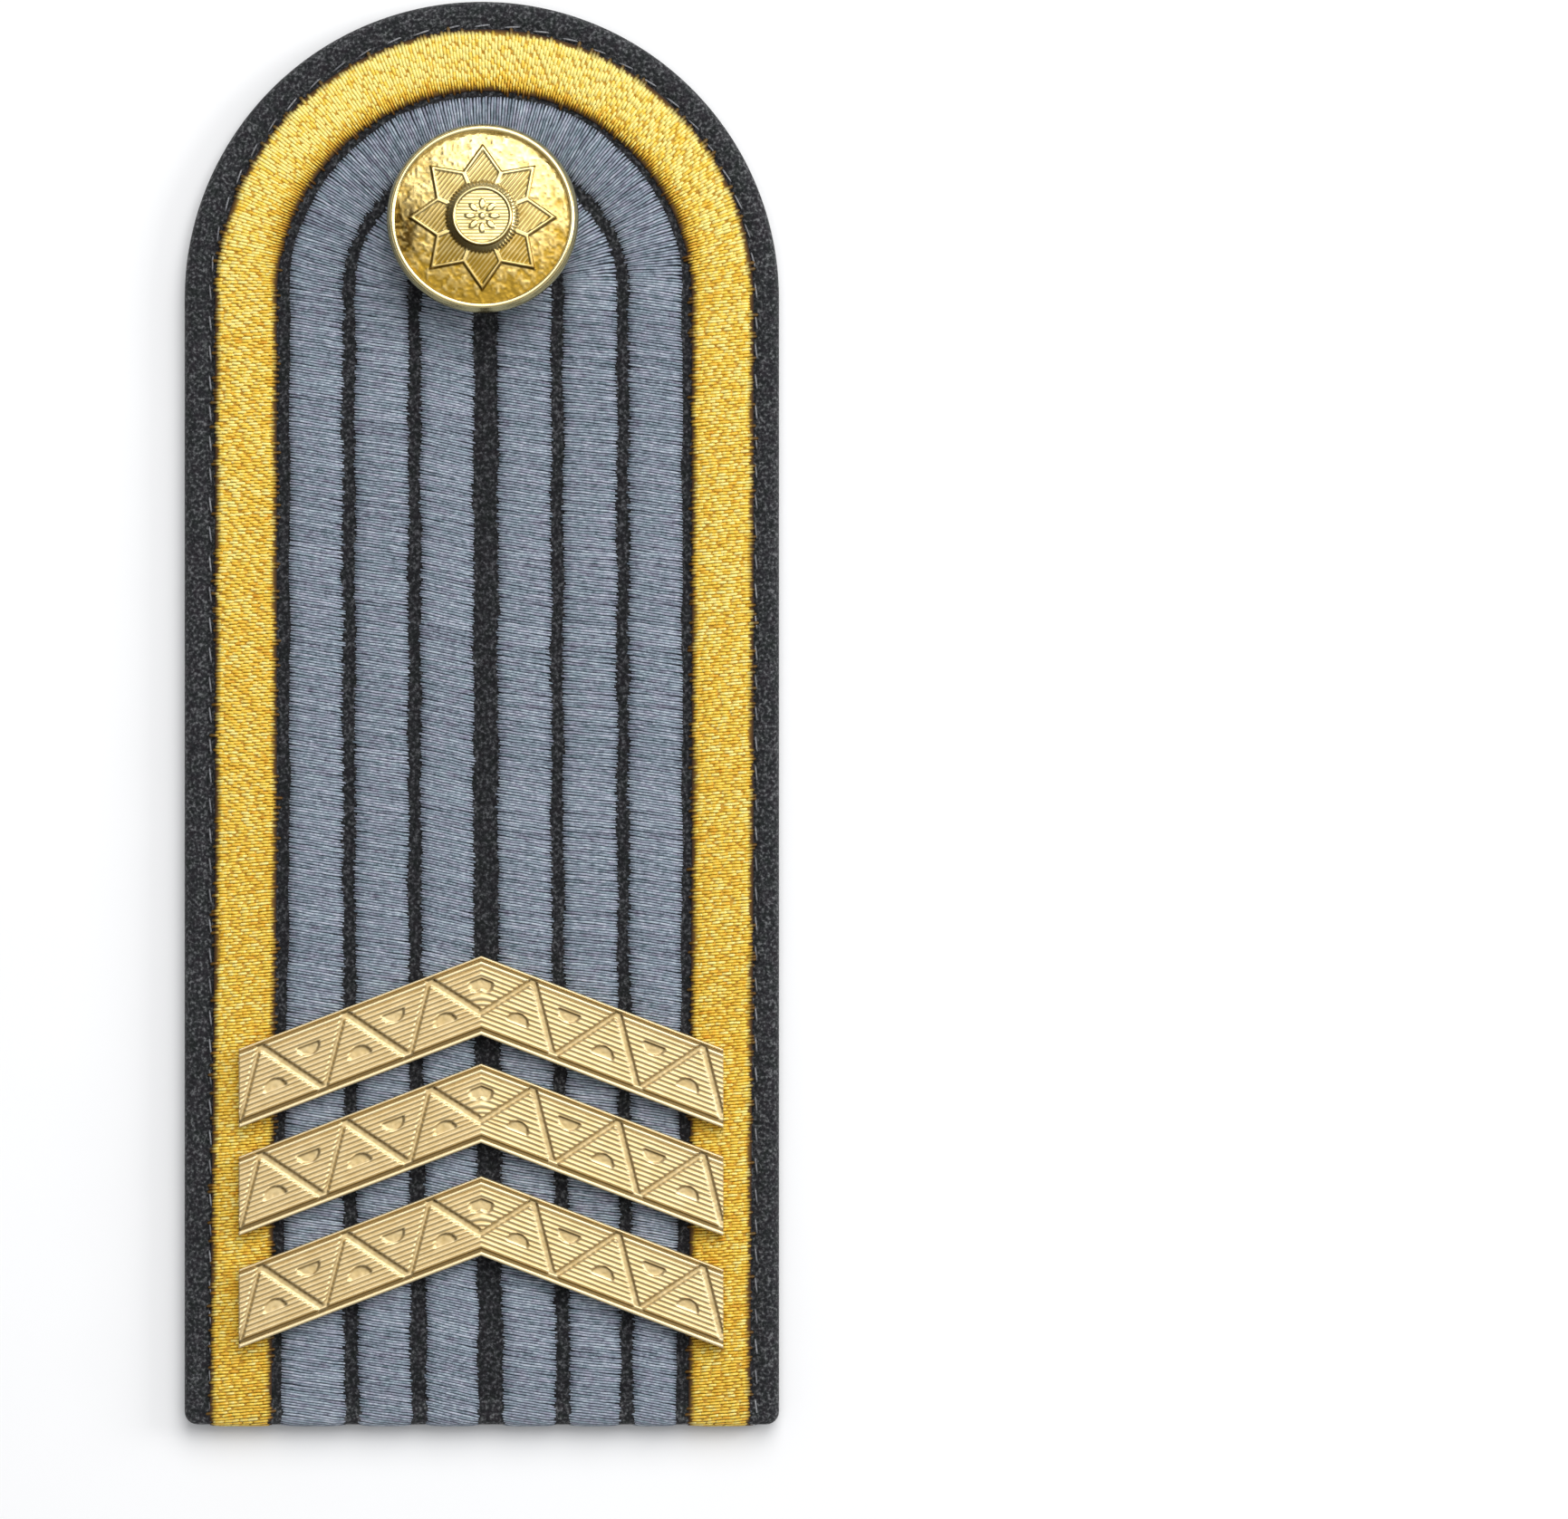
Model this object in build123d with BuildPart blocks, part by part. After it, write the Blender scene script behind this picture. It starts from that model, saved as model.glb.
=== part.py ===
from build123d import *
import os
from math import cos, radians, sin, tan

os.makedirs("parts", exist_ok=True)

# A dress shoulder board lies on its back: +Y to its round top, +X to the right, +Z up.
# The origin is under the middle of the board, on the surface that it lies on.
overall_length = 132.0
board_width = 55.0
board_thickness = 2.6
fold_radius = 0.9  # how roundly the cloth turns over an edge
corner_radius = 1.2  # lower corners, seen from above
clearance = 0.05  # between pieces that lie on or in each other

# Embroidered bands, raised over padding: a gold border round three pairs of columns
border_margin = 2.62  # cloth left bare outside the border
border_width = 5.7
border_gap = 1.1  # cloth between the border and the outer columns
column_gap = 1.25  # cloth between two columns
central_gap = 2.36  # cloth between the innermost columns
border_shift = 0.25  # how far right of the middle the border was sewn
column_shift = 0.4
column_lift = 0.5  # the columns' arches turn this far above the border's
thread_height = 0.55  # crown of a band
thread_edge = 0.22  # a band's upright side
pressed_height = 0.3  # crown where a band folds over the lower end
pressed_edge = 0.12
pressed_length = 3.0  # a band thins towards that fold over this length
wrap_drop = 0.6  # how far a band runs down the end face below the fold

# Three stamped metal chevrons. Widths are square to an arm, distances run along it.
chevron_span = 44.7
arm_angle = 21.0
arm_width = 6.84
plate_thickness = 0.8
lowest_apex = 23.4  # from the lower end to the top of the lowest chevron
lower_pitch = 10.4
upper_pitch = 9.95
outer_rim = 0.22
outer_groove = 0.2
bright_ridge = 0.42
inner_groove = 0.28
inner_rim = 0.4
rim_height = 0.34  # rims and ridge above the channels' floor
field_height = 0.24  # fields above the channels' floor
channel_width = 0.55
first_peak = 5.3  # the zigzag channel's first upper turn
zigzag_pitch = 8.4
centre_rise = 1.89  # the channel's turn at the apex, above the inner edge
disc_chord = 2.1  # half-disc sunk in each field
disc_height = 0.95
disc_inset = 1.5  # from a field's base to the flat of its half-disc
prong_width = 0.6
prong_length = 1.8
prong_depth = 1.6  # into the board

# Shank button over the arch, leaning a little towards the round top
button_diameter = 17.7  # over the widest part of its side
button_shift = 0.2  # how far right of the middle it was fixed
button_rise = 7.0  # its centre above the centre of the round top
button_lean = 7.0
back_inset = 0.85  # the back's edge inside the face's widest part
back_flare = 1.8  # from its flat underside out to that edge
back_curve = 2.8  # radius of that flare
back_height = 1.4
post_radius = 1.4
post_depth = 1.7  # into the board
thread_parting = 0.3  # room that the threads leave round the post
face_flare = 0.55  # the face's foot inside its widest part
wall_height = 0.5  # from the face's foot up to its widest part
rim_inset = 0.3  # the rim's outside inside the widest part
rim_roll = 0.53  # width of the rolled rim
rim_rise = 0.55  # rim above the sunk ground
ground_depth = 0.95  # metal under the sunk ground
star_points = 8
star_margin = 1.2  # ground between the rim and the star's tips
star_notch_depth = 2.2
star_height = 0.32
star_frame = 0.42  # raised frame round each ray's panel
panel_depth = 0.14
collar_radius = 3.45  # collar round the medallion
collar_width = 0.65
collar_height = 0.62
medallion_height = 1.15
medallion_rim = 0.36
medallion_depth = 0.22
petal_count = 8
petal_circle = 1.05
petal_radius = 0.38
petal_height = 0.12

slope = radians(arm_angle)
lean = radians(button_lean)
half_span = chevron_span / 2
wrap_reach = clearance + pressed_height
board_end = -overall_length / 2 + wrap_reach
arch_centre = overall_length / 2 - board_width / 2
fold_line = board_end + fold_radius
thread_seat = board_thickness + clearance
badge_seat = thread_seat + thread_height + clearance

border_outside = board_width / 2 - border_margin
border_inside = border_outside - border_width
columns_outside = border_inside - border_gap
column_width = (columns_outside - central_gap / 2 - 2 * column_gap) / 3
column_step = column_width + column_gap

lower_end = -overall_length / 2
chevron_apexes = {
    "chevron_lower": lower_end + lowest_apex,
    "chevron_middle": lower_end + lowest_apex + lower_pitch,
    "chevron_upper": lower_end + lowest_apex + lower_pitch + upper_pitch,
}
prong_offset = columns_outside - column_width - column_gap / 2

button_radius = button_diameter / 2
back_radius = button_radius - back_inset
back_flat_radius = back_radius - back_flare
rim_outside = button_radius - rim_inset
rim_inside = rim_outside - rim_roll
star_tip_radius = rim_inside - star_margin
star_notch_radius = star_tip_radius - star_notch_depth
medallion_radius = collar_radius - collar_width
button_axis = (0, sin(lean), cos(lean))
button_seat = badge_seat + back_flat_radius * sin(lean) + clearance
button_plane = Plane((button_shift, arch_centre + button_rise, button_seat), (1, 0, 0), button_axis)
button_section = Plane(button_plane.origin, (1, 0, 0), -button_plane.y_dir)
face_foot = back_height + clearance
post_reach = (button_seat - board_thickness + post_depth) / cos(lean)
post_in_threads = button_plane.origin.Y - (button_seat - thread_seat) * tan(lean)


# One face: an embroidered band's section between two distances from its middle line
def band_section(plane, inside, outside, height, edge):
    with BuildSketch(plane) as section:
        with BuildLine():
            Polyline((outside, edge), (outside, 0), (inside, 0), (inside, edge))
            ThreePointArc((inside, edge), ((inside + outside) / 2, height), (outside, edge))
        make_face()
    return section.sketch


# An arched band: a half ring round the top, two legs and a fold over the lower end
def embroidered_band(inside, outside, shift, lift):
    turn = arch_centre + lift
    taper = fold_line + pressed_length
    top = Plane((shift, turn, thread_seat), (1, 0, 0), (0, -1, 0))
    end_face = Plane((shift, board_end - clearance, board_thickness - fold_radius), (1, 0, 0), (0, 0, -1))
    with BuildPart() as band:
        arch = band_section(top, inside, outside, thread_height, thread_edge)
        revolve(arch, axis=Axis((shift, turn, 0), (0, 0, 1)), revolution_arc=180)
        for near, far in ((inside, outside), (-outside, -inside)):
            full = band_section(top, near, far, thread_height, thread_edge)
            extrude(full, amount=turn - taper)
            thinning = band_section(top.offset(turn - taper), near, far, thread_height, thread_edge)
            pressed = band_section(top.offset(turn - fold_line), near, far, pressed_height, pressed_edge)
            loft([thinning, pressed])
            fold_axis = Axis((0, fold_line, board_thickness - fold_radius), (1, 0, 0))
            revolve(pressed, axis=fold_axis, revolution_arc=90)
            hanging = band_section(end_face, near, far, pressed_height, pressed_edge)
            extrude(hanging, amount=wrap_drop)
        with BuildSketch(Plane((button_shift, post_in_threads, thread_seat))):
            Circle(post_radius + thread_parting)
        extrude(amount=thread_height + clearance, mode=Mode.SUBTRACT)
    return band


# A point along one arm of a chevron and below its outer edge, from the apex
def on_arm(along, below, side=1):
    return (side * (along * cos(slope) - below * sin(slope)), -along * sin(slope) - below * cos(slope))


# A V-shaped strip between two distances below the outer edge
def v_strip(below_top, below_bottom):
    fall = half_span * tan(slope)
    points = []
    for below, order in ((below_top, (-1, 0, 1)), (below_bottom, (1, 0, -1))):
        points += [(side * half_span, -abs(side) * fall - below / cos(slope)) for side in order]
    Polygon(*points, align=None)


# The turns of the zigzag channel on one arm, from the first upper turn to beyond the end
def channel_turns():
    turns = []
    along = first_peak
    upper = True
    while along * cos(slope) < half_span + arm_width:
        turns.append((along, upper))
        along += zigzag_pitch / 2
        upper = not upper
    return turns


channel_top = outer_rim + outer_groove
channel_bottom = arm_width - inner_rim - inner_groove / 2
field_bottom = arm_width - inner_rim - inner_groove


# The zigzag channel, cut out of the sketch being drawn
def cut_channels():
    right = [on_arm(along, channel_top if upper else channel_bottom) for along, upper in channel_turns()]
    left = [(-x, y) for x, y in reversed(right)]
    with BuildLine() as channel:
        Polyline(*left, (0, -(arm_width - centre_rise) / cos(slope)), *right)
    trace(channel.line, line_width=channel_width, mode=Mode.SUBTRACT)


# Half-discs with their flat towards the field's base, and a bent one at the apex
def cut_half_discs():
    half = disc_chord / 2
    for along, upper in channel_turns():
        flat = field_bottom - disc_inset if upper else channel_top + disc_inset
        bulge = flat - disc_height if upper else flat + disc_height
        for side in (-1, 1):
            ends = on_arm(along - half, flat, side), on_arm(along + half, flat, side)
            if abs(ends[1][0]) < half_span:
                with BuildLine() as half_disc:
                    ThreePointArc(ends[0], on_arm(along, bulge, side), ends[1])
                    Line(ends[1], ends[0])
                make_face(half_disc.edges(), mode=Mode.SUBTRACT)
    flat = channel_top + disc_inset
    middle = flat * tan(slope)
    with BuildLine() as lens:
        Polyline(on_arm(middle + half, flat, -1), on_arm(middle, flat), on_arm(middle + half, flat))
        ThreePointArc(
            on_arm(middle + half, flat),
            (0, -(flat + disc_height) / cos(slope)),
            on_arm(middle + half, flat, -1),
        )
    make_face(lens.edges(), mode=Mode.SUBTRACT)


# A prong's place under an arm, from the apex
def prong_places():
    return [
        (x, -abs(x) * tan(slope) - arm_width / 2 / cos(slope))
        for x in (column_shift - prong_offset, column_shift + prong_offset)
    ]


# A stamped chevron with rims, hatched fields between zigzag channels, and two prongs
def stamped_chevron(apex):
    seat = Plane((0, apex, badge_seat))
    with BuildPart() as chevron:
        with BuildSketch(seat):
            v_strip(0, arm_width)
        extrude(amount=plate_thickness)
        with BuildSketch(seat.offset(plate_thickness)):
            v_strip(0, outer_rim)
            v_strip(arm_width - inner_rim, arm_width)
        extrude(amount=rim_height)
        with BuildSketch(seat.offset(plate_thickness)):
            v_strip(channel_top, field_bottom)
            cut_channels()
            cut_half_discs()
        extrude(amount=field_height)
        with BuildSketch(seat.offset(plate_thickness)):
            v_strip(channel_top, channel_top + bright_ridge)
            cut_channels()
        extrude(amount=rim_height)
        with BuildSketch(seat):
            with Locations(*prong_places()):
                Rectangle(prong_width, prong_length)
        extrude(amount=-(badge_seat - board_thickness + prong_depth))
    return chevron


with BuildPart() as board:
    with BuildSketch() as outline:
        with Locations((0, (board_end + arch_centre) / 2)):
            Rectangle(board_width, arch_centre - board_end)
        with Locations((0, arch_centre)):
            Circle(board_width / 2)
        fillet(outline.vertices().group_by(Axis.Y)[0], corner_radius)
    extrude(amount=board_thickness)
    upper_edges = board.faces().sort_by(Axis.Z)[-1].edges()
    lower_edges = board.faces().sort_by(Axis.Z)[0].edges()
    fillet(upper_edges + lower_edges, fold_radius)
    for apex in chevron_apexes.values():
        with BuildSketch(Plane((0, apex, board_thickness))):
            with Locations(*prong_places()):
                Rectangle(prong_width + 2 * clearance, prong_length + 2 * clearance)
        extrude(amount=-(prong_depth + clearance), mode=Mode.SUBTRACT)
    with BuildSketch(button_plane):
        Circle(post_radius + clearance)
    extrude(amount=-(post_reach + clearance), mode=Mode.SUBTRACT)
board.part.label = "board"
export_step(board.part, "parts/board.step")

gold_border = embroidered_band(border_inside, border_outside, border_shift, 0)
gold_border.part.label = "gold_border"
export_step(gold_border.part, "parts/gold_border.step")

for place, name in enumerate(("outer_column", "middle_column", "inner_column")):
    outside = columns_outside - place * column_step
    column = embroidered_band(outside - column_width, outside, column_shift, column_lift)
    column.part.label = name
    export_step(column.part, f"parts/{name}.step")

for name, apex in chevron_apexes.items():
    chevron = stamped_chevron(apex)
    chevron.part.label = name
    export_step(chevron.part, f"parts/{name}.step")

with BuildPart() as button_back:
    with BuildSketch(button_section):
        with BuildLine():
            Polyline((back_radius, back_height), (0, back_height), (0, 0), (back_flat_radius, 0))
            RadiusArc((back_flat_radius, 0), (back_radius, back_height), -back_curve)
        make_face()
    revolve(axis=Axis(button_plane.origin, button_axis))
    with BuildSketch(button_plane):
        Circle(post_radius)
    extrude(amount=-post_reach)
button_back.part.label = "button_back"
export_step(button_back.part, "parts/button_back.step")

ground = face_foot + ground_depth
rim_top = ground + rim_rise
with BuildPart() as button_face:
    with BuildSketch(button_section):
        with BuildLine():
            Polyline(
                (rim_inside, rim_top - rim_roll / 2),
                (rim_inside, ground),
                (0, ground),
                (0, face_foot),
                (button_radius - face_flare, face_foot),
                (button_radius, face_foot + wall_height),
                (rim_outside, rim_top - rim_roll / 2),
            )
            ThreePointArc(
                (rim_outside, rim_top - rim_roll / 2),
                (rim_outside - rim_roll / 2, rim_top),
                (rim_inside, rim_top - rim_roll / 2),
            )
        make_face()
    revolve(axis=Axis(button_plane.origin, button_axis))
    step = 360 / star_points
    half_step = radians(step / 2)
    notch = (star_notch_radius * cos(half_step), star_notch_radius * sin(half_step))
    foot = (collar_radius * cos(half_step), collar_radius * sin(half_step))
    ray = [(star_tip_radius, 0), notch, foot, (foot[0], -foot[1]), (notch[0], -notch[1])]
    with BuildSketch(button_plane.offset(ground)):
        with PolarLocations(0, star_points, start_angle=90):
            Polygon(*ray, align=None)
        Circle(collar_radius)
    extrude(amount=star_height)
    with BuildSketch(button_plane.offset(ground + star_height)):
        with PolarLocations(0, star_points, start_angle=90):
            with BuildSketch(mode=Mode.PRIVATE) as panel:
                Polygon(*ray, align=None)
                offset(amount=-star_frame / 2)
            add(panel.sketch)
    extrude(amount=-panel_depth, mode=Mode.SUBTRACT)
    with BuildSketch(button_plane.offset(ground)):
        Circle(collar_radius)
    extrude(amount=collar_height)
    with BuildSketch(button_plane.offset(ground)):
        Circle(medallion_radius)
    extrude(amount=medallion_height)
    with BuildSketch(button_plane.offset(ground + medallion_height)):
        Circle(medallion_radius - medallion_rim)
    extrude(amount=-medallion_depth, mode=Mode.SUBTRACT)
    with BuildSketch(button_plane.offset(ground + medallion_height - medallion_depth)):
        with PolarLocations(petal_circle, petal_count):
            Circle(petal_radius)
        Circle(petal_radius)
    extrude(amount=petal_height)
button_face.part.label = "button_face"
export_step(button_face.part, "parts/button_face.step")
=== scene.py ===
import math
from functools import partial

import bpy
import numpy as np
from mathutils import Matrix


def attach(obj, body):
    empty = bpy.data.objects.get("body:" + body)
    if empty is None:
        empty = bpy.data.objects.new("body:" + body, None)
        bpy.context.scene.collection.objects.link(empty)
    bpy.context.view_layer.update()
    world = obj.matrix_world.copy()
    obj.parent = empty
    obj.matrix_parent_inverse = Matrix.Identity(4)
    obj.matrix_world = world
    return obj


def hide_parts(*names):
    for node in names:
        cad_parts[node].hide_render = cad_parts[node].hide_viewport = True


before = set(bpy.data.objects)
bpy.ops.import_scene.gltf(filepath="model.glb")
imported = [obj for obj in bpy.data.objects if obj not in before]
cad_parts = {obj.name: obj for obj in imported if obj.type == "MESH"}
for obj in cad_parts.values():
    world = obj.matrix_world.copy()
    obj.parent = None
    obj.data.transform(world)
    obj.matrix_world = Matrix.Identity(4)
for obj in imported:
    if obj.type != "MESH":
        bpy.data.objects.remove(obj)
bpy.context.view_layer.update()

# Sizes of the board, in millimetres. Meshes are worked out in these and scaled to metres when made.
METRES = 0.001
overall_length = 132.0
board_width = 55.0
board_thickness = 2.6
fold_radius = 0.9
corner_radius = 1.2
clearance = 0.05

# The bands of thread: where they lie, how high, how they fold over the lower end and drift there
border_outside = 24.88
border_width = 5.7
columns_outside = 18.08
column_width = 4.8
column_gap = 1.25
border_shift = 0.25
column_shift = 0.4
column_lift = 0.5
thread_height = 0.55
thread_edge = 0.22
pressed_height = 0.3
pressed_length = 3.0
wrap_drop = 0.6
folded_height = 0.14
drift_length = 52.0

# The chevrons: their arms, and the stamped rims, ridges, fields, zigzag channel and discs
chevron_span = 44.7
slope = math.radians(21.0)
cos_slope = math.cos(slope)
sin_slope = math.sin(slope)
tan_slope = math.tan(slope)
arm_width = 6.84
plate_thickness = 0.8
chevron_apexes = {"chevron_lower": -42.6, "chevron_middle": -32.2, "chevron_upper": -22.25}
outer_rim = 0.22
channel_top = 0.42
bright_ridge = 0.42
field_bottom = 6.16
channel_bottom = 6.3
inner_rim = 0.4
rim_height = 0.34
field_height = 0.21
shallow_widths = (0.66, 0.46)
steep_widths = (0.38, 0.55)
first_peak = 5.3
zigzag_pitch = 8.4
centre_rise = 1.89
disc_chord = 2.1
disc_height = 0.95
disc_inset = 1.5
floor_depth = 0.08
floor_gloss = 0.3
floor_grain = 0.02
wall_climb = 5.0
chevron_columns = 373

# The button: its cup and rim, the star, the milled collar, the medallion and its petals
button_radius = 8.85
button_shift = 0.2
button_rise = 7.0
button_lean = math.radians(7.0)
back_flat_radius = 6.2
face_foot = 1.45
face_flare = 0.55
wall_height = 0.5
rim_inset = 0.3
ground_level = 2.4
rim_roll = 0.53
rim_top = 2.95
star_points = 8
star_tip_radius = 6.82
star_notch_radius = 4.62
star_height = 0.32
star_frame = 0.42
panel_depth = 0.14
rib_slant = (0.78, -0.62)
rib_pitch = 0.35
rib_height = 0.06
pebble_sizes = {0.5: 0.022, 0.24: 0.02}
collar_radius = 3.45
collar_height = 0.62
medallion_radius = 2.8
medallion_height = 1.15
medallion_rim = 0.36
medallion_depth = 0.22
petal_count = 8
petal_circle = 1.12
petal_length = 0.62
petal_radius = 0.36
petal_height = 0.14
dome_rise = 0.22
dome_fall = 0.4
collar_teeth = 61
tooth_depth = 0.16
collar_fall = 0.25
line_pitch = 0.31
line_height = 0.05
ring_step = 0.08
roll_steps = 8
button_segments = 512

# The seam, the padding under the threads, and how the threads swerve, turn and shine
border_margin = 2.62
seam_inset = 2.27
seam_shift = 0.15
padding_depth = 0.18
pad_inset = 0.5
pad_step = 0.8
swerve = 0.12
swerve_length = 14.0
turning_length = 6.0
stitch_wobble = 0.018
crown_power = 4.0
dip_power = 9.0
leg_shine = 0.35
arch_shine = 0.65
inner_shade = 1.5

# The cloth's fold, the hollow along the seam and the swell outside it
fold_steps = 6
hollow_depth = 0.24
hollow_width = 0.32
hollow_shift = 0.06
swell_height = 0.05
cloth_unevenness = 0.03
leg_points = 150
arch_points = 150
corner_points = 7
foot_points = 90

# Sizes of what the materials show, in metres
wool_fleck = 0.0003
wool_dye = 0.0011
wool_nap = 0.00032
padding_mottle = 0.0005
gilt_wear = 0.0012

# Stitches of the seam, the gold border and the columns. The columns' real threads lie about 0.2 mm
# apart, too fine to show, so these are drawn a little coarser.
SEAM, BORDER, COLUMN = range(3)
stitch_sizes = {
    "Width": (1.25, border_width, column_width),
    "Row pitch": (2.8, 0.285, 0.245),
    "Stitch pitch": (1.0, 0.86, 0.86),
    "Stagger": (0.0, 1.0, 0.0),
    "Stitch length": (1.35, 0.94, column_width + 0.2),
    "Thread width": (0.17, 0.32, 0.29),
    "Thread thickness": (0.14, 0.24, 0.2),
    "Crown": (0.06, thread_height, thread_height),
    "Edge": (0.04, thread_edge, thread_edge),
    "Raggedness": (0.02, 0.45, 0.2),
    "Waviness": (0.1, 0.2, 0.16),
    "Sinking": (0.03, 0.1, 0.14),
    "End dip": (0.2, 0.08, 0.16),
    "End share": (0.8, 0.3, 0.8),
    "Taper": (0.45, 0.5, 0.3),
}
stitch_counts = {"Stitches": (1, 9, 1), "Points": (7, 4, 10), "Sides": (8, 4, 4)}

board_end = -overall_length / 2 + clearance + pressed_height
arch_centre = overall_length / 2 - board_width / 2
fold_line = board_end + fold_radius
thread_seat = board_thickness + clearance
badge_seat = thread_seat + thread_height + clearance
half_span = chevron_span / 2
rim_outside = button_radius - rim_inset
rim_inside = rim_outside - rim_roll
# The light comes from this side, to the right and up, and walls that face away from it get painted shade
LIGHT_FROM = (0.72, 0.69)
chance = np.random.default_rng(19)


# An sRGB hex colour as linear red, green, blue and alpha
def colour(code):
    parts = [int(code[place : place + 2], 16) / 255 for place in (0, 2, 4)]
    linear = [part / 12.92 if part <= 0.04045 else ((part + 0.055) / 1.055) ** 2.4 for part in parts]
    return (*linear, 1.0)


# Links a node's inputs to the given nodes and sockets and sets them to any other values
def feed(node, inputs):
    places = inputs.items() if isinstance(inputs, dict) else enumerate(inputs)
    for place, value in places:
        if isinstance(value, bpy.types.Node):
            value = next(socket for socket in value.outputs if socket.enabled)
        if isinstance(value, bpy.types.NodeSocket):
            node.id_data.links.new(value, node.inputs[place])
        else:
            node.inputs[place].default_value = value


# Adds a node with its settings and inputs. A kind in capitals is what a math node does, and a
# ramp's stops are pairs of place and hex colour.
def add(tree, kind, inputs=(), stops=(), **settings):
    if kind.isupper():
        kind, settings = "ShaderNodeMath", {"operation": kind}
    node = tree.nodes.new(kind)
    for name, value in settings.items():
        setattr(node, name, value)
    feed(node, inputs)
    if stops:
        elements = node.color_ramp.elements
        while len(elements) < len(stops):
            elements.new(0.5)
        for element, (place, code) in zip(elements, stops):
            element.position = place
            element.color = colour(code)
    return node


NOISE = "ShaderNodeTexNoise"
RANGE = "ShaderNodeMapRange"
RAMP = "ShaderNodeValToRGB"
MIX = "ShaderNodeMix"
BUMP = "ShaderNodeBump"
MAPPING = "ShaderNodeMapping"
COORDINATES = "ShaderNodeTexCoord"
JOIN = "ShaderNodeCombineXYZ"
PARTS = "ShaderNodeSeparateXYZ"
RANDOM = "FunctionNodeRandomValue"
PLACE = "GeometryNodeInputPosition"
MOVE = "GeometryNodeSetPosition"
STORE = "GeometryNodeStoreNamedAttribute"


# What a mesh has stored for each of its points under a name. Here and below, node adds to one tree.
def stored(node, name, kind="Fac"):
    return node("ShaderNodeAttribute", attribute_name=name).outputs[kind]


def new_material(name):
    material = bpy.data.materials.new(name)
    material.use_nodes = True
    tree = material.node_tree
    return material, partial(add, tree), tree.nodes["Principled BSDF"]


# Melton wool, woven and milled: short matted fibres that scatter light, with flecks of other dyes
def wool_material():
    material, node, shader = new_material("charcoal_melton_wool")
    place = node(COORDINATES).outputs["Object"]
    # Single fibres are too fine to show, so the flecks are as large as tufts of them
    flecks = node(NOISE, {"Vector": place, "Scale": 1 / wool_fleck, "Detail": 2.0, "Roughness": 0.6})
    greys = [(0.37, "0a0b0c"), (0.47, "202122"), (0.57, "404142"), (0.68, "747576")]
    base = node(RAMP, [flecks], greys)
    dyes = node(NOISE, {"Vector": place, "Scale": 1 / wool_dye, "Detail": 2.0})
    tint = node(RAMP, [dyes], [(0.3, "2c3632"), (0.5, "333439"), (0.7, "3b333c")])
    mixed = node(MIX, {0: 0.25, 6: base, 7: tint}, data_type="RGBA")
    # Painted shade: the cloth inside the border, between the raised bands, is darkened
    painted_gap_shade = stored(node, "painted_gap_shade")
    darkened = {0: painted_gap_shade, 6: mixed, 7: colour("cfcfd2")}
    gap_shaded = node(MIX, darkened, data_type="RGBA", blend_type="MULTIPLY")
    nap = node(NOISE, {"Vector": place, "Scale": 1 / wool_nap, "Detail": 3.0, "Roughness": 0.6})
    bump = node(BUMP, {"Height": nap, "Strength": 1.0, "Distance": 0.00022})
    feed(shader, {"Base Color": gap_shaded, "Normal": bump, "Roughness": 0.95})
    feed(shader, {"Specular IOR Level": 0.2, "Sheen Weight": 0.12, "Sheen Roughness": 0.5})
    return material


# Embroidery thread: painted highlight on its top and painted shade on its sides, as a groove colour,
# each stitch has its own shade with light and dark streaks along it, and the ends at the band's edge get
# painted shade where they roll off. The groove shade is a colour and a width. The end shade is a colour,
# the distances from the band's middle, in millimetres, where it starts and ends, and the share of the
# thread's own colour left at its end.
def thread_material(name, stops, tints, tint_share, groove_shade, end_shade, streak, unevenness, lustre, specular):
    material, node, shader = new_material(name)
    strand = stored(node, "strand", "Vector")
    shade, turned, crest = [stored(node, label) for label in ("shade", "turned", "crest")]
    # All noise is drawn out along the thread
    stretch = node(MAPPING, {"Vector": strand, "Scale": (1 / streak, 31.0, 9.0)})
    streaks = node(NOISE, {"Vector": stretch, "Scale": 1.0, "Detail": 3.0, "Roughness": 0.6})
    lift = node("SUBTRACT", [shade, 0.5])
    level = node("MULTIPLY_ADD", [lift, unevenness, streaks])
    # Painted sheen, set by the stored turn of the thread and its lustre
    shining = node("MULTIPLY_ADD", [turned, lustre, level])
    base = node(RAMP, [shining], stops)
    drift = node(MAPPING, {"Vector": strand, "Scale": (0.6 / streak, 17.0, 1.0)})
    patches = node(NOISE, {"Vector": drift, "Scale": 1.0, "Detail": 1.0})
    tint = node(RAMP, [patches], tints)
    mixed = node(MIX, {0: tint_share, 6: base, 7: tint}, data_type="RGBA")
    groove_shade_colour, groove_shade_width = groove_shade
    # Painted sheen also narrows the painted groove shade in the arch
    rounder = node("MULTIPLY_ADD", [turned, 2.5 * max(lustre, 0), crest])
    top = node(RANGE, {"Value": rounder, "From Max": groove_shade_width})
    groove_shaded = node(MIX, {0: top, 6: colour(groove_shade_colour), 7: mixed}, data_type="RGBA")
    across = node(PARTS, [strand]).outputs["X"]
    from_middle = node("ABSOLUTE", [across])
    end_shade_colour, start, end, left = end_shade
    lit = node(RANGE, [from_middle, start, end, 1.0, left])
    shown = node(MIX, {0: lit, 6: colour(end_shade_colour), 7: groove_shaded}, data_type="RGBA")
    fibres = node(MAPPING, {"Vector": strand, "Scale": (2.2, 400.0, 1.0)})
    grain = node(NOISE, {"Vector": fibres, "Scale": 1.0, "Detail": 2.0})
    bump = node(BUMP, {"Height": grain, "Strength": 0.35, "Distance": 0.00004})
    feed(shader, {"Base Color": shown, "Normal": bump})
    feed(shader, {"Roughness": 0.45, "Specular IOR Level": specular})
    return material
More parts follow.
